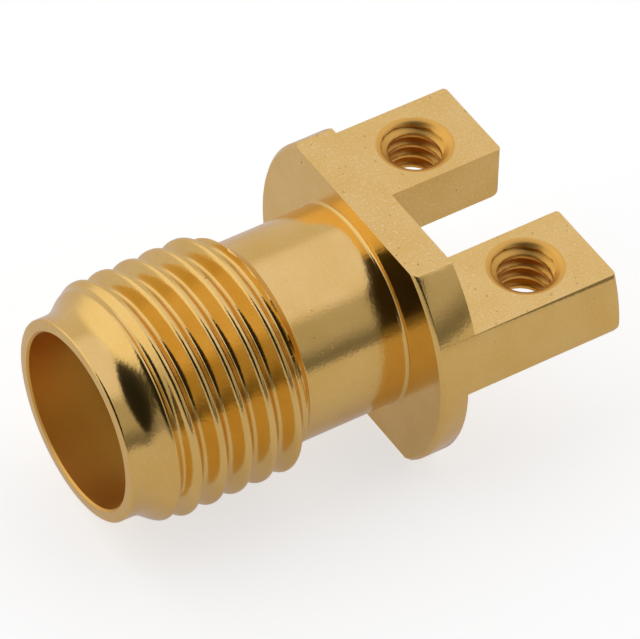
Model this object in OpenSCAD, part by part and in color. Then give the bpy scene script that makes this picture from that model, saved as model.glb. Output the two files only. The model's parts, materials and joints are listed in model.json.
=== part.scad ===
// Gold-plated coaxial board-edge jack: a turned and milled body, its insulator and its socket contact.
// Millimetres, +Z up. The mating axis lies along Y, and the mouth faces -Y.
// The origin is on that axis, in the reference plane at the bottom of the mating bore.

/* [Mating end] */
// Bore that takes the plug's outer contact
bore_d = 4.62; // [4.4:0.02:4.8]
// Depth of the mating bore, from the mouth to the reference plane
bore_depth = 1.93; // [1.2:0.01:2.6]
// Flare at the mouth of the bore
mouth_chamfer = 0.05; // [0.02:0.01:0.1]
// Outer diameter of the smooth nose
nose_d = 5.3; // [5.1:0.02:5.5]
// Rounding on the outside of the nose's rim
lip_r = 0.05; // [0.03:0.01:0.2]

/* [Coupling thread] */
// Diameter over the thread's crests
thread_d = 6.28; // [6.1:0.01:6.4]
// Distance from one crest to the next
thread_pitch = 0.7056; // [0.6:0.0001:0.9]
// Radial depth of a groove
thread_depth = 0.4; // [0.3:0.01:0.45]
// Width of the flat on a crest
crest_w = 0.12; // [0.06:0.01:0.16]
// Number of grooves
thread_grooves = 6; // [3:1:8]
// Distance from the mouth to the middle of the first groove
first_groove = 1.2; // [1:0.05:1.6]
// Distance from the mouth to the foot of the lead-in cone
lead_in = 0.7; // [0.4:0.05:0.9]
// Distance from the middle of the last groove to the foot of the run-out cone
run_out = 0.3; // [0.2:0.05:0.6]

/* [Barrel and flange] */
// Distance from the mouth to the front face of the flange
flange_front = 7.85; // [7.4:0.05:12]
// Diameter of the plain barrel behind the thread
barrel_d = 5.3; // [5:0.02:5.6]
// Fillet where the barrel meets the flange
barrel_fillet = 0.1; // [0.05:0.01:0.25]
// Diameter of the flange and of the bar that the legs are cut from
flange_d = 8.4; // [8:0.05:10]
// Turned chamfer on the front edge of the flange
flange_chamfer = 0.1; // [0.05:0.01:0.25]
// Thickness of the flange above the board
flange_upper_t = 1.1; // [0.8:0.05:2]
// Thickness of the flange below the board's top face
flange_lower_t = 0.75; // [0.5:0.05:2]
// Height of the flange's top flat above the axis
top_flat_h = 3.2; // [2.9:0.05:3.6]
// Depth of the flange's bottom flat below the axis
bottom_flat_h = 3.1; // [2.9:0.05:3.6]

/* [Legs] */
// Reach of the legs behind the flange's lower rear face
leg_l = 4.45; // [3.6:0.05:6]
// Width of the gap between the legs
leg_gap = 2.54; // [2.4:0.02:2.9]
// Thickness of a leg
leg_t = 1.58; // [1.2:0.02:2]
// Height of the legs' underside above the axis
seat_h = 0.1; // [0:0.02:0.2]
// Rounding of the legs' upright end corners
leg_corner_r = 0.2; // [0.1:0.02:0.4]
// Rounding of the legs' lower end edges
leg_toe_r = 0.25; // [0.1:0.05:0.4]

/* [Leg holes] */
// Hole through a leg, at the crests of its thread
hole_d = 1.36; // [1.1:0.02:1.6]
// Distance between the two holes
hole_spacing = 5; // [4.8:0.04:5.4]
// Distance from the end of a leg to the middle of its hole
hole_inset = 1.76; // [1.4:0.02:2]
// Diameter of the countersink at the top of a hole
countersink_d = 1.86; // [1.64:0.02:2]
// Depth of the countersink
countersink_depth = 0.22; // [0.1:0.01:0.4]

/* [Insulator] */
// Diameter of the insulator
insulator_d = 4.1; // [3.8:0.02:4.3]
// Diameter of its neck, where it passes through the rear wall
neck_d = 2.44; // [1.8:0.02:2.5]
// Thickness of the wall that the insulator seats against
rear_wall_t = 1.6; // [1:0.05:2.4]
// Radial clearance round the insulator and round the contact
fit_gap = 0.02; // [0.01:0.005:0.03]

/* [Contact] */
// Diameter of the contact's socket
contact_d = 1.27; // [1.1:0.01:1.5]
// Hole that takes the plug's pin
socket_d = 0.94; // [0.9:0.01:1]
// Depth of that hole
socket_depth = 2.9; // [2:0.05:3.6]
// Lead-in chamfer at the front of that hole
socket_chamfer = 0.08; // [0.02:0.01:0.12]
// Width of the slots that let the socket spring
slot_w = 0.14; // [0.1:0.01:0.2]
// Length of those slots
slot_l = 2.4; // [1.6:0.05:3]
// Diameter of the contact's tail
tail_d = 0.76; // [0.5:0.02:0.9]
// Reach of the tail behind the flange's lower rear face
tail_l = 1.75; // [1:0.05:3]

/* [Hidden] */
$fn = 96;
arc_steps = 4;
past = 1;                                      // how far a cutter runs past the metal
gold = [0.84, 0.66, 0.35];
ptfe = [0.93, 0.92, 0.88];

mouth_y = -bore_depth;
flange_y = mouth_y + flange_front;
upper_rear_y = flange_y + flange_upper_t;
lower_rear_y = flange_y + flange_lower_t;
end_y = lower_rear_y + leg_l;
shoulder_y = lower_rear_y - rear_wall_t;
hole_y = end_y - hole_inset;
nose_r = nose_d / 2;
crest_r = thread_d / 2;
root_r = crest_r - thread_depth;
barrel_r = barrel_d / 2;
flange_r = flange_d / 2;
contact_r = contact_d / 2;
tail_r = tail_d / 2;
leg_top = seat_h + leg_t;
flank_w = thread_depth * tan(30);              // a 60 degree thread form
root_w = thread_pitch - crest_w - 2 * flank_w;
first_groove_y = mouth_y + first_groove;
last_groove_y = first_groove_y + (thread_grooves - 1) * thread_pitch;

// Points of a quarter arc in the [radius, y] plane, from angle a to angle b
function arc(centre, r, a, b) =
    [for (i = [0:arc_steps]) centre + r * [cos(a + (b - a) * i / arc_steps), sin(a + (b - a) * i / arc_steps)]];

module round_y(r, from, to) {
    translate([0, from, 0])
        rotate([-90, 0, 0])
            cylinder(r = r, h = to - from);
}

// The blank before its thread is cut, with a plain 45 degree cone at each end of the thread
module turned_blank() {
    lead_in_y = mouth_y + lead_in;
    run_out_y = last_groove_y + run_out;
    rotate([-90, 0, 0])
        rotate_extrude()
            polygon(concat(
                [[0, mouth_y]],
                arc([nose_r - lip_r, mouth_y + lip_r], lip_r, -90, 0),
                [
                    [nose_r, lead_in_y],
                    [crest_r, lead_in_y + crest_r - nose_r],
                    [crest_r, run_out_y - crest_r + barrel_r],
                    [barrel_r, run_out_y]
                ],
                arc([barrel_r + barrel_fillet, flange_y - barrel_fillet], barrel_fillet, 180, 90),
                [[flange_r - flange_chamfer, flange_y], [flange_r, flange_y + flange_chamfer]],
                arc([flange_r - leg_corner_r, end_y - leg_corner_r], leg_corner_r, 0, 90),
                [[0, end_y]]
            ));
}

// The cutter's path round the blank, with flanks that run on past the crests
module thread_groove(y) {
    mouth_w = root_w + 2 * (thread_depth + past) * tan(30);
    rotate([-90, 0, 0])
        rotate_extrude()
            polygon([
                [root_r, y - root_w / 2],
                [crest_r + past, y - mouth_w / 2],
                [crest_r + past, y + mouth_w / 2],
                [root_r, y + root_w / 2]
            ]);
}

// Mating bore, the insulator's bore behind it, and the neck's hole in the rear wall
module bores() {
    round_y(bore_d / 2, mouth_y - past, 0);
    round_y(insulator_d / 2 + fit_gap, -past, shoulder_y);
    round_y(neck_d / 2 + fit_gap, shoulder_y - past, upper_rear_y + fit_gap);
    translate([0, mouth_y, 0])
        rotate([-90, 0, 0])
            cylinder(r1 = bore_d / 2 + mouth_chamfer, r2 = bore_d / 2, h = mouth_chamfer);
}

// A block as wide as the bar, between two heights, from y to past its end
module slab(y, low, high) {
    translate([-flange_r - past, y, low])
        cube([flange_d + 2 * past, end_y + past - y, high - low]);
}

module milled_faces() {
    slab(flange_y - past / 2, top_flat_h, flange_r + past);
    slab(flange_y - past / 2, -flange_r - past, -bottom_flat_h);
    slab(upper_rear_y, leg_top, flange_r + past);
    slab(lower_rear_y, -flange_r - past, seat_h);
    translate([-leg_gap / 2, upper_rear_y, seat_h - past])
        cube([leg_gap, leg_l + past, flange_r + past]);
}

// What a fillet of radius r takes off a corner at the origin that points to +X +Y, along Z
module corner_waste(r, h) {
    difference() {
        translate([-r, -r, 0])
            cube([r + past, r + past, h]);
        translate([-r, -r, -past])
            cylinder(r = r, h = h + 2 * past);
    }
}

module leg_end_rounding() {
    for (side = [0, 1]) {
        mirror([side, 0, 0]) {
            translate([leg_gap / 2, end_y, seat_h - past])
                mirror([1, 0, 0])
                    corner_waste(leg_corner_r, leg_t + 2 * past);
            translate([0, end_y, seat_h])
                rotate([0, 90, 0])
                    corner_waste(leg_toe_r, flange_r + past);
        }
    }
}

module leg_hole() {
    translate([hole_spacing / 2, hole_y, seat_h - past])
        cylinder(d = hole_d, h = leg_t + 2 * past);
    translate([hole_spacing / 2, hole_y, leg_top - countersink_depth])
        cylinder(d1 = hole_d, d2 = countersink_d, h = countersink_depth);
}

module body() {
    color(gold)
        difference() {
            turned_blank();
            for (i = [0:thread_grooves - 1])
                thread_groove(first_groove_y + i * thread_pitch);
            bores();
            milled_faces();
            leg_end_rounding();
            leg_hole();
            mirror([1, 0, 0])
                leg_hole();
        }
}

module insulator() {
    color(ptfe)
        difference() {
            union() {
                round_y(insulator_d / 2, 0, shoulder_y);
                round_y(neck_d / 2, 0, lower_rear_y);
            }
            round_y(contact_r + fit_gap, -past, shoulder_y);
            round_y(tail_r + fit_gap, 0, lower_rear_y + past);
        }
}

// A slotted socket in front, and a tail milled flat to lie on the board, level with the legs' undersides
module contact() {
    color(gold)
        difference() {
            union() {
                round_y(contact_r, 0, shoulder_y);
                round_y(tail_r, 0, lower_rear_y + tail_l);
            }
            round_y(socket_d / 2, -past, socket_depth);
            rotate([-90, 0, 0])
                cylinder(r1 = socket_d / 2 + socket_chamfer, r2 = socket_d / 2, h = socket_chamfer);
            for (turn = [0, 90])
                rotate([0, turn, 0])
                    translate([-slot_w / 2, -past, -contact_r - past])
                        cube([slot_w, past + slot_l, contact_d + 2 * past]);
            translate([-tail_r - past, lower_rear_y, -tail_r - past])
                cube([tail_d + 2 * past, tail_l + past, tail_r + past + seat_h]);
        }
}

body();
insulator();
contact();
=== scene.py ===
import json
import math

import bmesh
import bpy
from mathutils import Matrix, Vector

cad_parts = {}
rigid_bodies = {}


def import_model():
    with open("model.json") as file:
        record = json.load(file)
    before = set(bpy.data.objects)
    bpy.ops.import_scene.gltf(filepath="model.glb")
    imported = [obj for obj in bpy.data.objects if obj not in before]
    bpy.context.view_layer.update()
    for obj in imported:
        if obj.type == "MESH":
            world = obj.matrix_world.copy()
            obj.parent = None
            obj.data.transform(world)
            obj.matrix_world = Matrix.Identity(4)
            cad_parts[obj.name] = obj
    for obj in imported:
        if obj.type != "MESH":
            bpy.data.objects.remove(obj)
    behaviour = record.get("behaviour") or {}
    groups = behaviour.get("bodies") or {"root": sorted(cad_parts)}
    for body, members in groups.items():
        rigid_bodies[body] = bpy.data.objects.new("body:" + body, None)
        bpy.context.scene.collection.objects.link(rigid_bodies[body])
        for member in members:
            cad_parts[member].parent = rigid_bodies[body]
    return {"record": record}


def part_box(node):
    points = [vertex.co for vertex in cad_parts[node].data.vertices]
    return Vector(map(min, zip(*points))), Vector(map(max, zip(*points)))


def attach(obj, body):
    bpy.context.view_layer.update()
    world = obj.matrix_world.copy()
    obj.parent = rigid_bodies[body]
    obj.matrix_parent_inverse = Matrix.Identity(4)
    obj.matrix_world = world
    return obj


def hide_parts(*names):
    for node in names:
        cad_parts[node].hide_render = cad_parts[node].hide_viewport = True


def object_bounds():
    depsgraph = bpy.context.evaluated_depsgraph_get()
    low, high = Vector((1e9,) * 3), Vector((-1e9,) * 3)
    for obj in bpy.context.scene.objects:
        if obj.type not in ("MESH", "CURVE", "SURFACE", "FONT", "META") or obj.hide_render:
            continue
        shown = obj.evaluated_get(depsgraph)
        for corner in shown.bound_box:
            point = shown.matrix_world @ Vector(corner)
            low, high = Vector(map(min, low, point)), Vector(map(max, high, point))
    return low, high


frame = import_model()
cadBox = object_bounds()
mounts = {m["name"]: m for m in frame["record"]["mounts"]}
metresPerMm = 0.001  # pieces are modelled in millimetres and brought to metres at the end


def inMm(vector):
    return Vector(vector) / metresPerMm


# places and radii that the frame gives, in millimetres

bodyLow, bodyHigh = (inMm(corner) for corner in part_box("body"))
place = {
    "mouthY": bodyLow.y,
    "endY": bodyHigh.y,
    "barR": bodyHigh.x,
    "topZ": bodyHigh.z,
    "crestR": mounts["coupling_thread"]["dims"]["r_mm"],
    "boreR": mounts["mating_bore"]["dims"]["r_mm"],
    "lowerRearY": inMm(mounts["board_edge"]["pos_m"]).y,
    "seatZ": inMm(mounts["board_seat"]["pos_m"]).z,
    "holeY": inMm(mounts["leg_holes"]["pos_m"]).y,
    "holeX": mounts["leg_holes"]["dims"]["spacing_x_mm"] / 2,
    "socketR": mounts["contact_socket"]["dims"]["r_mm"],
}
place["flangeY"] = place["mouthY"] + 7.85
insulatorLow, insulatorHigh = (inMm(corner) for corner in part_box("insulator"))
contactLow, contactHigh = (inMm(corner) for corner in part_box("contact"))


# node maths written as Python expressions

class Wire:
    # one socket of a node tree, with the operators that the trees below use
    def __init__(self, graph, socket):
        self.graph = graph
        self.socket = socket

    def __add__(self, other):
        return self.graph.maths("ADD", self, other)

    def __radd__(self, other):
        return self.graph.maths("ADD", other, self)

    def __sub__(self, other):
        return self.graph.maths("SUBTRACT", self, other)

    def __rsub__(self, other):
        return self.graph.maths("SUBTRACT", other, self)

    def __mul__(self, other):
        return self.graph.maths("MULTIPLY", self, other)

    def __rmul__(self, other):
        return self.graph.maths("MULTIPLY", other, self)

    def __truediv__(self, other):
        return self.graph.maths("DIVIDE", self, other)


class Graph:
    def __init__(self, tree):
        self.tree = tree

    # any node: its type, its own settings, and the values or wires of its sockets by name or number
    def node(self, kind, settings=None, sockets=None):
        made = self.tree.nodes.new(kind)
        for name, value in (settings or {}).items():
            setattr(made, name, value)
        for key, value in (sockets or {}).items():
            socket = made.inputs[key]
            if isinstance(value, Wire):
                self.tree.links.new(value.socket, socket)
            else:
                socket.default_value = value
        return made

    def wire(self, made, output=0):
        return Wire(self, made.outputs[output])

    def maths(self, operation, *values):
        return self.wire(self.node("ShaderNodeMath", {"operation": operation}, dict(enumerate(values))))


# making and joining meshes

def addObject(name, mesh):
    made = bpy.data.objects.new(name, mesh)
    bpy.context.scene.collection.objects.link(made)
    return made


# ends a bmesh: a new object with its faces and one material
def keepMesh(name, build, material):
    mesh = bpy.data.meshes.new(name)
    build.to_mesh(mesh)
    build.free()
    mesh.materials.append(material)
    return addObject(name, mesh)


# turns every modifier of an object into plain mesh
def bake(piece):
    bpy.context.view_layer.update()
    evaluated = piece.evaluated_get(bpy.context.evaluated_depsgraph_get())
    mesh = bpy.data.meshes.new_from_object(evaluated, preserve_all_data_layers=True,
                                           depsgraph=bpy.context.evaluated_depsgraph_get())
    piece.modifiers.clear()
    piece.data = mesh
    return piece


# turns the faces of a closed piece outwards
def faceOutwards(piece):
    build = bmesh.new()
    build.from_mesh(piece.data)
    bmesh.ops.recalc_face_normals(build, faces=build.faces)
    build.to_mesh(piece.data)
    build.free()


# cuts tools from a piece, or joins them to it
def combine(piece, tools, operation):
    for tool in tools:
        step = piece.modifiers.new("combine", "BOOLEAN")
        step.operation = operation
        step.object = tool
        step.solver = "EXACT"
        step.material_mode = "TRANSFER"  # a cut face takes its cutter's finish
    bake(piece)
    for tool in tools:
        bpy.data.objects.remove(tool)
    return piece


# points of an arc round a centre, from one angle to another in degrees
def arc(centre, radius, fromAngle, toAngle, steps):
    points = []
    for step in range(steps + 1):
        angle = math.radians(fromAngle + (toAngle - fromAngle) * step / steps)
        points.append((centre[0] + radius * math.cos(angle), centre[1] + radius * math.sin(angle)))
    return points


# angles all the way round, in even steps
def evenAngles(count):
    return [2 * math.pi * step / count for step in range(count)]


# closed solid of revolution about Y, from (radius, y) points that start and end on the axis
def turned(name, profile, angles, material):
    build = bmesh.new()
    rings = []
    for radius, y in profile:
        around = angles if radius > 0 else [0]
        spots = [(radius * math.cos(angle), y, radius * math.sin(angle)) for angle in around]
        rings.append([build.verts.new(spot) for spot in spots])
    for front, back in zip(rings, rings[1:]):
        for step in range(len(angles)):
            after = (step + 1) % len(angles)
            corners = []
            for vert in (front[step % len(front)], front[after % len(front)],
                         back[after % len(back)], back[step % len(back)]):
                if vert not in corners:
                    corners.append(vert)
            build.faces.new(corners)
    bmesh.ops.recalc_face_normals(build, faces=build.faces)
    return keepMesh(name, build, material)


# a straight prism with the given outline, between two heights along Z
def prism(name, outline, low, high, material):
    build = bmesh.new()
    base = build.faces.new([build.verts.new((x, y, low)) for x, y in outline])
    raised = bmesh.ops.extrude_face_region(build, geom=[base])["geom"]
    for item in raised:
        if isinstance(item, bmesh.types.BMVert):
            item.co.z = high
    bmesh.ops.recalc_face_normals(build, faces=build.faces)
    return keepMesh(name, build, material)


# a plain box between two corners
def block(name, low, high, material):
    outline = [(low[0], low[1]), (high[0], low[1]), (high[0], high[1]), (low[0], high[1])]
    return prism(name, outline, low[2], high[2], material)


cuts = {
    "sliver": 0.02,         # edges shorter than this are leftovers of a cut
    "flatAngle": 0.5,       # faces that turn by less are one flat
    "sharpAngle": 30,       # edges that turn by more get rounded
    "crease": 35,           # edges that turn by more stay creased
    "faceWeight": 60,       # how far large faces lead the shading of small ones
}


# merges what the cuts left double, and makes each flat one face again
def cleanCuts(piece):
    build = bmesh.new()
    build.from_mesh(piece.data)
    bmesh.ops.remove_doubles(build, verts=build.verts, dist=cuts["sliver"])
    bmesh.ops.dissolve_degenerate(build, edges=build.edges, dist=cuts["sliver"])
    bmesh.ops.dissolve_limit(build, angle_limit=math.radians(cuts["flatAngle"]),
                             verts=build.verts, edges=build.edges)
    bmesh.ops.recalc_face_normals(build, faces=build.faces)
    build.to_mesh(piece.data)
    build.free()


# softens the sharp edges of a piece
def roundEdges(piece, size, steps):
    build = bmesh.new()
    build.from_mesh(piece.data)
    sharp = math.radians(cuts["sharpAngle"])
    chosen = [edge for edge in build.edges if edge.is_manifold and edge.calc_face_angle() > sharp]
    bmesh.ops.bevel(build, geom=chosen, offset=size, offset_type="OFFSET", segments=steps,
                    profile=0.5, affect="EDGES", clamp_overlap=True)
    build.to_mesh(piece.data)
    build.free()


# brings a finished piece to metres, with smooth shading between its creases
def finishPiece(piece):
    piece.data.transform(Matrix.Scale(metresPerMm, 4))
    piece.data.shade_smooth()
    piece.data.set_sharp_from_angle(angle=math.radians(cuts["crease"]))
    weigh = piece.modifiers.new("weigh", "WEIGHTED_NORMAL")
    weigh.keep_sharp = True
    weigh.weight = cuts["faceWeight"]
    bake(piece)
    return piece


# finishes

# a plain material, with its graph and its shader for what is added to it
def newMaterial(name, color, roughness, metallic):
    material = bpy.data.materials.new(name)
    material.use_nodes = True
    graph = Graph(material.node_tree)
    shader = material.node_tree.nodes["Principled BSDF"]
    shader.inputs["Base Color"].default_value = color
    shader.inputs["Roughness"].default_value = roughness
    shader.inputs["Metallic"].default_value = metallic
    return material, graph, shader


# the place on the piece, in metres
def objectSpot(graph):
    return graph.wire(graph.node("ShaderNodeTexCoord"), "Object")


# soft noise of about the given size
def noise(graph, spot, size, detail=2.0, roughness=0.5):
    sockets = {"Vector": spot, "Scale": 1 / size, "Detail": detail, "Roughness": roughness}
    return graph.wire(graph.node("ShaderNodeTexNoise", None, sockets), "Fac")


# spots of about the given radius, one in a share of the cells of a given size; 1 in the middle of each
def spots(graph, spot, gap, radius, share):
    cells = graph.node("ShaderNodeTexVoronoi", None, {"Vector": spot, "Scale": 1 / gap})
    distance = graph.wire(cells, "Distance")
    pick = graph.wire(graph.node("ShaderNodeSeparateColor", None, {0: graph.wire(cells, "Color")}))
    chosen = graph.maths("LESS_THAN", pick, share)
    edge = radius / gap
    core = 0.35 * edge
    return ramp(graph, distance, edge, core, 0.0, 1.0) * chosen


# a value taken smoothly from one range to another
def ramp(graph, value, fromLow, fromHigh, toLow, toHigh):
    made = graph.node("ShaderNodeMapRange", {"interpolation_type": "SMOOTHSTEP"}, {
        "Value": value, "From Min": fromLow, "From Max": fromHigh, "To Min": toLow, "To Max": toHigh})
    return graph.wire(made)


# the first colour where the factor is 0, the second where it is 1
def mixColors(graph, factor, first, second):
    made = graph.node("ShaderNodeMix", {"data_type": "RGBA"}, {0: factor, 6: first, 7: second})
    return graph.wire(made, 2)


# relief for a shader, from heights that a distance in metres scales
def joinBump(graph, shader, height, distance):
    bump = graph.node("ShaderNodeBump", None, {"Strength": 1.0, "Distance": distance, "Height": height})
    graph.tree.links.new(bump.outputs["Normal"], shader.inputs["Normal"])


plating = {
    "color": (0.87, 0.6, 0.18, 1),
    "deepColor": (0.84, 0.56, 0.15, 1),
    # paler gold that the flecks are painted with: painted sparkle
    "brightColor": (1, 0.8, 0.42, 1),
    # the pits are coloured near black: painted shade in the pits, over their dents in the relief
    "pitColor": (0.16, 0.08, 0.02, 1),
    "patchSize": 0.0011,    # wide patches, where the plating is deeper in colour
    "patchRange": (0.3, 0.7),
    "fleckSize": 0.00007,   # bright flecks
    "fleckRange": (0.52, 0.78),
    "pitCover": 0.8,
    "pitRoughness": 0.2,
    "bumpHeight": 0.000003,
}


# gold plating over brass; the look says how smooth the metal under it was left
def goldPlate(name, look):
    material, graph, shader = newMaterial(name, plating["color"], look["roughness"], 1)
    spot = objectSpot(graph)
    patches = noise(graph, spot, plating["patchSize"], 3)
    grain = noise(graph, spot, look["grainSize"], 2, 0.6)
    dents = spots(graph, spot, look["dentGap"], look["dentR"], look["dentShare"])
    pits = spots(graph, spot, look["pitGap"], look["pitR"], look["pitShare"])
    deep = ramp(graph, patches, *plating["patchRange"], 0.0, 1.0)
    plain = look.get("color") or mixColors(graph, deep, plating["color"], plating["deepColor"])
    # paler flecks mixed into the colour: painted sparkle, over the deeper patches of the plating's own
    # tone
    flecks = noise(graph, spot, plating["fleckSize"], 1)
    flecked = ramp(graph, flecks, *plating["fleckRange"], 0.0, look["fleckShare"])
    mottleAndSparkle = mixColors(graph, flecked, plain, plating["brightColor"])
    # the pits darkened: painted shade
    color = mixColors(graph, pits * plating["pitCover"], mottleAndSparkle, plating["pitColor"])
    graph.tree.links.new(color.socket, shader.inputs["Base Color"])
    roughness = (patches - 0.5) * look["patchRoughness"] + grain * look["grainRoughness"]
    roughness = roughness + look["roughness"]
    roughness = roughness + pits * plating["pitRoughness"]
    graph.tree.links.new(roughness.socket, shader.inputs["Roughness"])
    height = grain * look["grainDepth"] - dents * look["dentDepth"] - pits
    joinBump(graph, shader, height, plating["bumpHeight"])
    return material


turnedGold = goldPlate("turnedGold", {
    "fleckShare": 0.15,
    "roughness": 0.13, "patchRoughness": 0.06, "grainRoughness": 0.06,
    "grainSize": 0.00009, "grainDepth": 0.9,
    "dentGap": 0.00022, "dentR": 0.00003, "dentShare": 0.16, "dentDepth": 1.6,
    "pitGap": 0.0008, "pitR": 0.00004, "pitShare": 0.12,
})
milledGold = goldPlate("milledGold", {
    "fleckShare": 0.4,
    "roughness": 0.2, "patchRoughness": 0.08, "grainRoughness": 0.08,
    "grainSize": 0.00005, "grainDepth": 2.6,
    "dentGap": 0.00018, "dentR": 0.000035, "dentShare": 0.3, "dentDepth": 4.5,
    "pitGap": 0.001, "pitR": 0.00003, "pitShare": 0.06,
})
# gold inside the bore and the tapped holes, deepened to orange: painted light, standing for the light
# bounced inside these hollows
boreGold = goldPlate("boreGold", {
    "color": (0.85, 0.5, 0.1, 1), "fleckShare": 0.0,
    "roughness": 0.42, "patchRoughness": 0.06, "grainRoughness": 0.0,
    "grainSize": 0.00008, "grainDepth": 0.1,
    "dentGap": 0.0003, "dentR": 0.00003, "dentShare": 0.1, "dentDepth": 1.0,
    "pitGap": 0.001, "pitR": 0.00003, "pitShare": 0.05,
})
contactGold = goldPlate("contactGold", {
    "fleckShare": 0.1,
    "roughness": 0.15, "patchRoughness": 0.05, "grainRoughness": 0.05,
    "grainSize": 0.00006, "grainDepth": 0.5,
    "dentGap": 0.0003, "dentR": 0.00002, "dentShare": 0.1, "dentDepth": 1.0,
    "pitGap": 0.001, "pitR": 0.00002, "pitShare": 0.05,
})


ptfeLook = {
    "color": (0.86, 0.85, 0.81, 1),
    "shade": (0.8, 0.79, 0.74, 1),
    "cloudSize": 0.0008,
    "roughness": 0.42,
    "cloudRoughness": 0.1,
    "lightDepth": (0.0004, 0.0004, 0.0003),
    "lightShare": 0.15,
    "toolMarks": 3500.0,
    "grainSize": 0.00006,
    "bumpHeight": 0.0000015,
}


# turned PTFE: a waxy white with faint tool marks
def makePtfe():
    material, graph, shader = newMaterial("ptfeBush", ptfeLook["color"], ptfeLook["roughness"], 0)
    shader.inputs["Subsurface Weight"].default_value = ptfeLook["lightShare"]
    shader.inputs["Subsurface Radius"].default_value = ptfeLook["lightDepth"]
    spot = objectSpot(graph)
    clouds = noise(graph, spot, ptfeLook["cloudSize"], 3)
    color = mixColors(graph, clouds, ptfeLook["color"], ptfeLook["shade"])
    graph.tree.links.new(color.socket, shader.inputs["Base Color"])
    roughness = clouds * ptfeLook["cloudRoughness"] + ptfeLook["roughness"]
    graph.tree.links.new(roughness.socket, shader.inputs["Roughness"])
    rings = graph.node("ShaderNodeTexWave", {"wave_type": "RINGS", "rings_direction": "Y"}, {
        "Vector": spot, "Scale": ptfeLook["toolMarks"], "Distortion": 0.6, "Detail": 1.0})
    height = graph.wire(rings, "Fac") + noise(graph, spot, ptfeLook["grainSize"])
    joinBump(graph, shader, height, ptfeLook["bumpHeight"])
    return material


ptfe = makePtfe()


# geometry trees that the turned body and the leg holes share

# an empty tree with named inputs: numbers, or a material where the value is None
def newTree(name, inputs):
    tree = bpy.data.node_groups.new(name, "GeometryNodeTree")
    for label, value in inputs.items():
        kind = "NodeSocketMaterial" if value is None else "NodeSocketFloat"
        socket = tree.interface.new_socket(name=label, in_out="INPUT", socket_type=kind)
        if value is not None:
            socket.default_value = value
    graph = Graph(tree)
    start = graph.node("NodeGroupInput")
    return graph, {label: graph.wire(start, label) for label in inputs}


# runs a tree once, with the given inputs, and keeps what it makes as plain mesh
def runTree(name, graph, values):
    piece = addObject(name, bpy.data.meshes.new(name))
    step = piece.modifiers.new("tree", "NODES")
    step.node_group = graph.tree
    for item in graph.tree.interface.items_tree:
        if item.in_out == "INPUT" and item.name in values:
            step[item.identifier] = values[item.name]
    bake(piece)
    faceOutwards(piece)
    return piece


threadInputs = {
    "crestAt": 0.0,
    "pitch": 0.7,
    "depth": 0.4,
    "crestW": 0.1,
    "crestBlend": 0.05,
    "rootBlend": 0.1,
}


# how far a 60 degree thread lies below its crest, from the height along it and the share of a turn
def threadForm():
    graph, given = newTree("threadForm", {"height": 0.0, "turn": 0.0, **threadInputs})
    graph.tree.interface.new_socket(name="fall", in_out="OUTPUT", socket_type="NodeSocketFloat")
    turns = (given["height"] - given["crestAt"]) / given["pitch"] + given["turn"]
    fromCrest = graph.maths("ABSOLUTE", graph.maths("FRACT", turns + 0.5) - 0.5) * given["pitch"]
    flank = (fromCrest - given["crestW"] * 0.5) * math.tan(math.radians(60))
    rounded = graph.maths("SMOOTH_MAX", flank, 0.0, given["crestBlend"])
    fall = graph.maths("SMOOTH_MIN", rounded, given["depth"], given["rootBlend"])
    graph.node("NodeGroupOutput", None, {0: fall})
    return graph.tree


threadTree = threadForm()


# the thread tree used inside another tree
def threadFall(graph, given, height, turn):
    sockets = {"height": height, "turn": turn, **{label: given[label] for label in threadInputs}}
    return graph.wire(graph.node("GeometryNodeGroup", {"node_tree": threadTree}, sockets))


# a closed rod whose radius and height follow a rule; its first and last rows close the ends
def rodTree(name, inputs, shape, axes):
    inputs = {**inputs, **threadInputs, "rows": 100.0, "segments": 96.0, "finish": None}
    graph, given = newTree(name, inputs)
    graph.tree.interface.new_socket(name="Geometry", in_out="OUTPUT", socket_type="NodeSocketGeometry")
    grid = graph.node("GeometryNodeMeshGrid", None, {
        "Size X": 1.0, "Size Y": 1.0, "Vertices X": given["segments"] + 1, "Vertices Y": given["rows"]})
    position = graph.wire(graph.node("GeometryNodeInputPosition"))
    spot = graph.node("ShaderNodeSeparateXYZ", None, {0: position})
    turn = graph.wire(spot, "X") + 0.5
    row = (graph.wire(spot, "Y") + 0.5) * (given["rows"] - 1)
    share = graph.maths("MINIMUM", graph.maths("MAXIMUM", (row - 1) / (given["rows"] - 3), 0.0), 1.0)
    radius, height = shape(graph, given, turn, share)
    inner = graph.maths("GREATER_THAN", row, 0.5) * graph.maths("LESS_THAN", row, given["rows"] - 1.5)
    angle = turn * (2 * math.pi)
    reach = radius * inner
    parts = [reach * graph.maths("COSINE", angle), reach * graph.maths("SINE", angle), height]
    spread = graph.node("ShaderNodeCombineXYZ", None, dict(zip(axes, parts)))
    moved = graph.node("GeometryNodeSetPosition", None, {
        "Geometry": graph.wire(grid, "Mesh"), "Position": graph.wire(spread)})
    merged = graph.node("GeometryNodeMergeByDistance", None, {
        "Geometry": graph.wire(moved), "Distance": 1e-5})
    real = graph.node("GeometryNodeRealizeInstances", None, {0: graph.wire(merged)})
    painted = graph.node("GeometryNodeSetMaterial", None, {
        "Geometry": graph.wire(real), "Material": given["finish"]})
    graph.node("NodeGroupOutput", None, {0: graph.wire(painted)})
    return graph


# the turned end: nose with a rounded lip, lead-in cone, thread, run-out cone, barrel and its fillet

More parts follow.
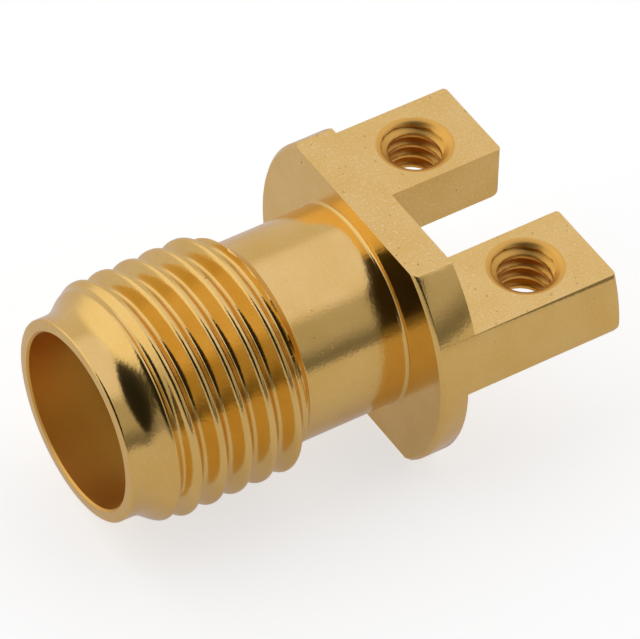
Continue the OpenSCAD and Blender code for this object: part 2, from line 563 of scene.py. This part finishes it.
jack = {
    "mouthY": place["mouthY"],
    "length": 7.854,        # mouth to the flange's front face, and a hair into it
    "crestR": place["crestR"],
    "noseR": 2.65,
    "lipR": 0.05,           # rounding of the mouth's outer edge
    "leadIn": 0.63,         # mouth to the foot of the lead-in cone
    "leadInSlope": 0.8,
    "leadBlend": 0.3,       # how softly that cone leaves the nose
    "leadTopBlend": 0.22,   # and how softly it meets the thread
    "cutFrom": 1.0,         # mouth to the first trace of the groove
    "cutOver": 0.4,         # the way over which the groove reaches its depth
    "runOut": 5.03,         # mouth to the foot of the run-out cone
    "runOutSlope": 1.0,
    "barrelR": 2.65,
    "filletR": 0.1,         # between the barrel and the flange
    "blend": 0.05,
    "crestAt": -0.294,      # height of a crest at the +X side
    "pitch": 0.7056,
    "depth": 0.4,
    "crestW": 0.12,
    "crestBlend": 0.09,
    "rootBlend": 0.15,
    "rows": 330,
    "segments": 192,
}


# radius and height along the turned end, as its share of the way from the mouth to the flange grows
def jackShape(graph, given, turn, share):
    quarter = math.pi / 2
    straight = given["length"] - given["lipR"] - given["filletR"]
    travel = share * (straight + (given["lipR"] + given["filletR"]) * quarter)
    lipAngle = graph.maths("MINIMUM", travel / given["lipR"], quarter)
    pastLip = graph.maths("MAXIMUM", travel - given["lipR"] * quarter, 0.0)
    onStraight = graph.maths("MINIMUM", pastLip, straight)
    filletAngle = (pastLip - onStraight) / given["filletR"]
    fromMouth = (given["lipR"] * (1 - graph.maths("COSINE", lipAngle)) + onStraight
                 + given["filletR"] * graph.maths("SINE", filletAngle))
    height = fromMouth + given["mouthY"]
    begun = graph.maths("MAXIMUM", (fromMouth - given["cutFrom"]) / given["cutOver"], 0.0)
    fall = threadFall(graph, given, height, turn) * graph.maths("MINIMUM", begun, 1.0)
    thread = given["crestR"] - fall
    leadIn = (fromMouth - given["leadIn"]) * given["leadInSlope"] + given["noseR"]
    front = graph.maths("SMOOTH_MAX", leadIn, given["noseR"], given["leadBlend"])
    runOut = (given["runOut"] - fromMouth) * given["runOutSlope"] + given["barrelR"]
    rear = graph.maths("SMOOTH_MAX", runOut, given["barrelR"], given["blend"])
    plain = graph.maths("MINIMUM", front, rear)
    nose = graph.maths("LESS_THAN", fromMouth, given["cutFrom"] * 2)
    blend = given["blend"] + nose * (given["leadTopBlend"] - given["blend"])
    radius = graph.maths("SMOOTH_MIN", thread, plain, blend)
    lipFall = given["lipR"] * (1 - graph.maths("SINE", lipAngle))
    filletRise = given["filletR"] * (1 - graph.maths("COSINE", filletAngle))
    return radius - lipFall + filletRise, height


jackInputs = {label: 0.0 for label in jack if label not in threadInputs}
jackTree = rodTree("jackTree", jackInputs, jackShape, "XZY")


# the milled end: flange and legs, cut from the bar

milled = {
    "flangeFront": place["flangeY"],
    "upperRear": place["flangeY"] + 1.1,
    "lowerRear": place["lowerRearY"],
    "frontChamfer": 0.1,
    "barR": place["barR"],
    "barStep": 2.0,         # degrees between the bar's facets
    "topFlat": place["topZ"],
    "bottomFlat": 3.1,
    "legTop": place["seatZ"] + 1.58,
    "legBottom": place["seatZ"],
    "gap": 2.54,            # between the legs
    "cornerR": 0.09,        # upright edges at the ends of the legs
    "cornerSteps": 3,
    "toeR": 0.22,           # lower edge at the ends of the legs
    "toeSteps": 6,
    "edgeR": 0.035,
    "edgeSteps": 2,
}


# angles round the bar, in even steps between the heights where a cut meets its rim
def barAngles(heights):
    stops = sorted(math.degrees(math.asin(height / milled["barR"])) for height in heights)
    stops += [180 - stop for stop in reversed(stops)]
    stops.append(stops[0] + 360)
    angles = []
    for low, high in zip(stops, stops[1:]):
        steps = max(1, round((high - low) / milled["barStep"]))
        angles += [math.radians(low + (high - low) * step / steps) for step in range(steps)]
    return angles


# cutter that rounds the lower edge at the end of the legs
def makeToeCut(past):
    size, bottom = milled["toeR"], -milled["legBottom"]
    outline = arc((bottom - size, place["endY"] - size), size, 0, 90, milled["toeSteps"])
    outline += [(bottom - size, past), (bottom + size, past), (bottom + size, place["endY"] - size)]
    cutter = prism("toeCut", outline, -milled["barR"] - 1, milled["barR"] + 1, turnedGold)
    cutter.data.transform(Matrix.Rotation(math.pi / 2, 4, "Y"))
    return cutter


# the bar with its flats, step, board seat and gap milled away
def makeMilledEnd():
    heights = (milled["topFlat"], milled["legTop"], milled["legBottom"], -milled["bottomFlat"])
    rim = milled["barR"] - milled["frontChamfer"]
    corner, steps = milled["cornerR"], milled["cornerSteps"]
    cornerY = place["endY"] - corner
    profile = [(0, milled["flangeFront"]), (rim, milled["flangeFront"]),
               (milled["barR"], milled["flangeFront"] + milled["frontChamfer"]),
               *arc((milled["barR"] - corner, cornerY), corner, 0, 90, steps), (0, place["endY"])]
    piece = turned("milledEnd", profile, barAngles(heights), turnedGold)
    wide, past = milled["barR"] + 1, place["endY"] + 1
    front = milled["flangeFront"] - 1
    half = milled["gap"] / 2
    flare = arc((half + corner, cornerY), corner, 180, 90, steps)
    outline = [(half, milled["upperRear"]), *flare, (half + corner, past)]
    outline += [(-x, y) for x, y in reversed(outline)]
    cutters = [
        block("topCut", (-wide, front, milled["topFlat"]), (wide, past, wide), milledGold),
        block("bottomCut", (-wide, front, -wide), (wide, past, -milled["bottomFlat"]), milledGold),
        block("stepCut", (-wide, milled["upperRear"], milled["legTop"]), (wide, past, wide), milledGold),
        block("boardCut", (-wide, milled["lowerRear"], -wide), (wide, past, milled["legBottom"]),
              milledGold),
        prism("gapCut", outline, -1, wide, milledGold),
        makeToeCut(past),
    ]
    combine(piece, cutters, "DIFFERENCE")
    cleanCuts(piece)
    roundEdges(piece, milled["edgeR"], milled["edgeSteps"])
    return piece


# stage: a white tent, its floor, and the dark round opening that the camera looks through

tent = {
    "keyAt": (-0.1, 0.39, 0.91),
    "keyFrom": 0.72,
    "keyTo": 0.86,
    "keyLevel": 0.84,
    "keyColor": (1, 0.97, 1.33, 1),
    "fillAt": (-0.55, -0.66, 0.5),
    "fillFrom": 0.6,
    "fillTo": 0.9,
    "fillLevel": 1.0,
    "sideLevel": 0.56,
    "sideTilt": 0.12,
    "sideColor": (1, 0.94, 1.05, 1),
    "seamAt": 0.12,         # the darker seam low on the +X side
    "seamReach": 0.32,
    "seamSide": (0.3, 0.8),
    "seamDrop": 0.6,
    "floorSize": 0.4,
    "floorColor": (0.55, 0.55, 0.55, 1),
    "floorRoughness": 0.7,
    "floorTint": (0.4, 0.36, 0.4, 1),
    "floorLift": 0.66,
    "floorGlossyLift": 0.36,
    "openingColor": (0.012, 0.011, 0.01, 1),
    "openingRoughness": 0.8,
    "openingSides": 64,
    "openingAway": 0.25,
    "openingAngle": 37,     # half of what it takes up, seen from the part
}
white = (1, 1, 1, 1)


def lightPath(graph, names):
    path = graph.node("ShaderNodeLightPath")
    return [graph.wire(path, name) for name in names]


# how far a direction looks into one of the tent's bright sides
def lampShare(graph, way, lamp):
    facing = graph.node("ShaderNodeVectorMath", {"operation": "DOT_PRODUCT"}, {
        0: way, 1: tent[lamp + "At"]})
    return ramp(graph, graph.wire(facing, "Value"), tent[lamp + "From"], tent[lamp + "To"], 0.0, 1.0)


# the tent's walls: a world whose level and tint follow the direction
def makeTent():
    world = bpy.data.worlds.new("tent")
    bpy.context.scene.world = world
    world.use_nodes = True
    graph = Graph(world.node_tree)
    way = graph.wire(graph.node("ShaderNodeTexCoord"), "Generated")
    parts = graph.node("ShaderNodeSeparateXYZ", None, {0: way})
    across, up = graph.wire(parts, "X"), graph.wire(parts, "Z")
    keyShare = lampShare(graph, way, "key")
    fillShare = lampShare(graph, way, "fill")
    side = tent["sideLevel"] - across * tent["sideTilt"]
    level = side + (tent["keyLevel"] - side) * keyShare
    level = level + (tent["fillLevel"] - level) * fillShare
    fromSeam = graph.maths("ABSOLUTE", up - tent["seamAt"])
    seam = ramp(graph, fromSeam, tent["seamReach"], 0.0, 0.0, 1.0)
    seam = seam * ramp(graph, across, *tent["seamSide"], 0.0, 1.0)
    level = level * (1 - seam * tent["seamDrop"])
    camera, glossy = lightPath(graph, ["Is Camera Ray", "Is Glossy Ray"])
    level = level + camera * (1 - level)
    background = world.node_tree.nodes["Background"]
    tint = mixColors(graph, keyShare, tent["sideColor"], tent["keyColor"])
    tint = mixColors(graph, glossy, white, tint)
    graph.tree.links.new(tint.socket, background.inputs["Color"])
    graph.tree.links.new(level.socket, background.inputs["Strength"])


# a white floor that keeps the part's shadow
def makeFloor():
    material, graph, shader = newMaterial("floorWhite", tent["floorColor"], tent["floorRoughness"], 0)
    rays = ["Is Camera Ray", "Is Glossy Ray", "Is Transmission Ray"]
    camera, glossy, through = lightPath(graph, rays)
    lift = (camera + through) * tent["floorLift"] + glossy * tent["floorGlossyLift"]
    tint = mixColors(graph, glossy, tent["floorColor"], tent["floorTint"])
    graph.tree.links.new(tint.socket, shader.inputs["Base Color"])
    glowTint = mixColors(graph, glossy, white, tent["sideColor"])
    glow = graph.node("ShaderNodeEmission", None, {"Color": glowTint, "Strength": lift})
    both = graph.node("ShaderNodeAddShader", None, {0: graph.wire(shader), 1: graph.wire(glow)})
    output = graph.tree.nodes["Material Output"]
    graph.tree.links.new(both.outputs[0], output.inputs["Surface"])
    build = bmesh.new()
    bmesh.ops.create_grid(build, x_segments=1, y_segments=1, size=tent["floorSize"])
    floor = keepMesh("floor", build, material)
    floor.location.z = cadBox[0][2]


view = {
    "target": (0.147, 4.952, 0.07),
    "azimuth": 56.75,
    "elevation": 45.32,
    "roll": 1.683,
    "distance": 163.33,
    "lens": 374.35,
    "sensor": 36,
    "nearest": 0.001,
    "farthest": 10,
}


# the way from the part to the camera
def towardsCamera():
    azimuth, elevation = math.radians(view["azimuth"]), math.radians(view["elevation"])
    level = math.cos(elevation)
    return Vector((math.sin(azimuth) * level, -math.cos(azimuth) * level, math.sin(elevation)))


# the place of something at a spot along that way, looking back at the part
def lookBack(spot):
    return Matrix.Translation(spot) @ towardsCamera().to_track_quat("Z", "Y").to_matrix().to_4x4()


# the dark round opening behind the camera
def makeOpening():
    material = newMaterial("openingBlack", tent["openingColor"], tent["openingRoughness"], 0)[0]
    build = bmesh.new()
    radius = tent["openingAway"] * math.tan(math.radians(tent["openingAngle"]))
    bmesh.ops.create_circle(build, cap_ends=True, segments=tent["openingSides"], radius=radius)
    opening = keepMesh("tentOpening", build, material)
    opening.matrix_world = lookBack(towardsCamera() * tent["openingAway"])


def makeCamera():
    data = bpy.data.cameras.new("camera")
    data.lens = view["lens"]
    data.sensor_width = view["sensor"]
    data.clip_start = view["nearest"]
    data.clip_end = view["farthest"]
    camera = addObject("camera", data)
    spot = (Vector(view["target"]) + towardsCamera() * view["distance"]) * metresPerMm
    camera.matrix_world = lookBack(spot) @ Matrix.Rotation(math.radians(view["roll"]), 4, "Z")
    bpy.context.scene.camera = camera


# cutters: the bore and the two tapped holes

tap = {
    "lowZ": milled["legBottom"] - 0.3,
    "highZ": milled["legTop"] + 0.3,
    "topZ": milled["legTop"],
    "majorR": 0.85,
    "sinkR": 0.93,          # countersink, where it meets the leg's top
    "sinkSlope": 1.15,
    "rimDrop": 0.025,       # its softened rim starts this far down
    "rimSlope": 2.6,
    "crestAt": 0.3,
    "pitch": 0.35,
    "depth": 0.17,
    "crestW": 0.05,
    "crestBlend": 0.03,
    "rootBlend": 0.04,
    "rows": 120,
    "segments": 80,
}


# cutter for a tapped hole: its thread, the countersink above it and the countersink's softened rim
def tapShape(graph, given, turn, share):
    height = given["lowZ"] + share * (given["highZ"] - given["lowZ"])
    thread = given["majorR"] - threadFall(graph, given, height, 0.0 - turn)
    sink = given["sinkR"] + (height - given["topZ"]) * given["sinkSlope"]
    rim = given["sinkR"] + (height - given["topZ"] + given["rimDrop"]) * given["rimSlope"]
    return graph.maths("MAXIMUM", graph.maths("MAXIMUM", thread, sink), rim), height


tapInputs = {label: 0.0 for label in tap if label not in threadInputs}
tapTree = rodTree("tapTree", tapInputs, tapShape, "XYZ")


# one such cutter for each leg
def makeTaps():
    taps = []
    for side in (-1, 1):
        cutter = runTree("tapCut", tapTree, {**tap, "finish": boreGold})
        cutter.data.transform(Matrix.Translation((side * place["holeX"], place["holeY"], 0)))
        taps.append(cutter)
    return taps


boreCut = {
    "flare": 0.05,
    "insulatorGap": 0.02,
    "shoulder": place["lowerRearY"] - 1.6,
    "neckR": 1.22,
    "facets": 160,
}


# the body's inside: flared mouth, mating bore, the insulator's seat and its neck
def boreProfile():
    mouth, flare = place["mouthY"], boreCut["flare"]
    seatR = insulatorHigh.x + boreCut["insulatorGap"]
    neckR = boreCut["neckR"] + boreCut["insulatorGap"]
    return [(0, mouth - 1), (place["boreR"] + flare + 1, mouth - 1), (place["boreR"] + flare, mouth),
            (place["boreR"], mouth + flare), (place["boreR"], 0), (seatR, 0),
            (seatR, boreCut["shoulder"]), (neckR, boreCut["shoulder"]),
            (neckR, milled["upperRear"] + 1), (0, milled["upperRear"] + 1)]


# the PTFE insulator

insulator = {
    "shoulder": boreCut["shoulder"],
    "neckR": 1.22,
    "contactGap": 0.02,
    "tailR": 0.38,
    "edge": 0.05,
    "edgeSteps": 4,
    "facets": 96,
    "holeFacets": 64,
}


# a stepped bush, drilled for the contact and its tail
def makeInsulator():
    outer, edge = insulatorHigh.x, insulator["edge"]
    hole = contactHigh.x + insulator["contactGap"]
    tailHole = insulator["tailR"] + insulator["contactGap"]
    front, back = insulatorLow.y, insulatorHigh.y
    profile = [(0, front), (outer - edge, front)]
    profile += arc((outer - edge, front + edge), edge, -90, 0, insulator["edgeSteps"])[1:]
    profile += [(outer, insulator["shoulder"]), (insulator["neckR"], insulator["shoulder"]),
                (insulator["neckR"], back), (0, back)]
    piece = turned("insulatorBush", profile, evenAngles(insulator["facets"]), ptfe)
    drill = [(0, front - 1), (hole + 1, front - 1), (hole + edge, front), (hole, front + edge),
             (hole, insulator["shoulder"]), (tailHole, insulator["shoulder"]),
             (tailHole, back + 1), (0, back + 1)]
    combine(piece, [turned("drill", drill, evenAngles(insulator["holeFacets"]), ptfe)], "DIFFERENCE")
    return finishPiece(piece)


# the centre contact: a slotted socket in front and a flattened tail behind

contact = {
    "socketDepth": 2.9,
    "socketFlare": 0.08,
    "drillTip": 0.27,
    "rimR": 0.06,
    "rimSteps": 4,
    "facets": 96,
    "slotW": 0.14,
    "slotL": 2.4,
    "shoulder": boreCut["shoulder"],
    "tailR": 0.38,
    "tailFlat": place["seatZ"],
    "tailEdge": 0.06,
}


# a turned pin, drilled and slit in front, milled flat behind
def makeContact():
    outer, rim, tail = contactHigh.x, contact["rimR"], contact["tailR"]
    front, back, edge = contactLow.y, contactHigh.y, contact["tailEdge"]
    profile = [(0, front), (outer - rim, front)]
    profile += arc((outer - rim, front + rim), rim, -90, 0, contact["rimSteps"])[1:]
    profile += [(outer, contact["shoulder"]), (tail, contact["shoulder"])]
    profile += [(tail, back - edge), (tail - edge, back), (0, back)]
    around = evenAngles(contact["facets"])
    piece = turned("centreContact", profile, around, contactGold)
    hole, flare = place["socketR"], contact["socketFlare"]
    drill = [(0, front - 1), (hole + flare + 1, front - 1), (hole + flare, front), (hole, front + flare),
             (hole, contact["socketDepth"]), (0, contact["socketDepth"] + contact["drillTip"])]
    half, slotEnd = contact["slotW"] / 2, front + contact["slotL"]
    flatFrom, flatTo = (-1, place["lowerRearY"], -1), (1, back + 1, contact["tailFlat"])
    cutters = [
        turned("socketDrill", drill, around, contactGold),
        block("uprightSlot", (-half, front - 1, -2), (half, slotEnd, 2), contactGold),
        block("levelSlot", (-2, front - 1, -half), (2, slotEnd, half), contactGold),
        block("tailMilling", flatFrom, flatTo, contactGold),
    ]
    combine(piece, cutters, "DIFFERENCE")
    return finishPiece(piece)


# the pieces and the stage

# both ends joined in one, then the bore and the tapped holes cut
def makeBody():
    turnedEnd = runTree("turnedEnd", jackTree, {**jack, "finish": turnedGold})
    print("turned end:", len(turnedEnd.data.polygons), "faces")
    piece = makeMilledEnd()
    print("milled end:", len(piece.data.polygons), "faces")
    combine(piece, [turnedEnd], "UNION")
    bore = turned("boreCut", boreProfile(), evenAngles(boreCut["facets"]), boreGold)
    combine(piece, [bore, *makeTaps()], "DIFFERENCE")
    finishPiece(piece)
    piece.name = "connectorBody"
    print("body:", len(piece.data.polygons), "faces")
    return piece


body = makeBody()
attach(body, "root")
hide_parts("body")

bush = makeInsulator()
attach(bush, "root")
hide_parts("insulator")

centre = makeContact()
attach(centre, "root")
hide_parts("contact")
print("insulator and contact:", len(bush.data.polygons), len(centre.data.polygons), "faces")

makeTent()
makeFloor()
makeOpening()
makeCamera()
print("stage and camera made")
bpy.context.scene.view_settings.view_transform = "Standard"
